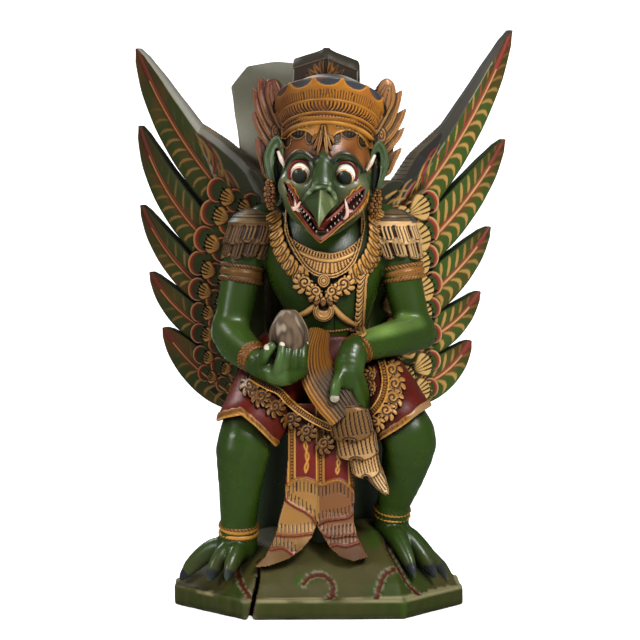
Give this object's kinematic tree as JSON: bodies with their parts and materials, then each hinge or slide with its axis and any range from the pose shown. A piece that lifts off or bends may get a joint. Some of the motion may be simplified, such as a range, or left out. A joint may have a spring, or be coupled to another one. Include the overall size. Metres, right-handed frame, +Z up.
{
  "type": "garuda figure",
  "caption": "Carved and painted wooden garuda crouching on a rock plinth, with raised wings, a tail board, a crown and a jar in its hand.",
  "frame": {"origin": "centre of the plinth's underside, on the surface that the figure stands on", "axes": "+Z up, the figure faces -Y, and +X is to the right of a person who faces it"},
  "size_m": [0.5567, 0.3452, 0.8144],
  "materials": {
    "figure_paint": "glossy dark green paint over carved wood, with ochre gold dress, deep red cloth and a dull olive rock, all worn pale on the ridges",
    "wing_paint": "satin dark green paint with painted feathers in red and gold, browned and worn at the edges",
    "tail_paint": "satin grey green paint on a plain board"
  },
  "bodies": {
    "root": {"figure": "figure_paint", "left_wing": "wing_paint", "right_wing": "wing_paint", "tail": "tail_paint"}
  },
  "joints": []
}
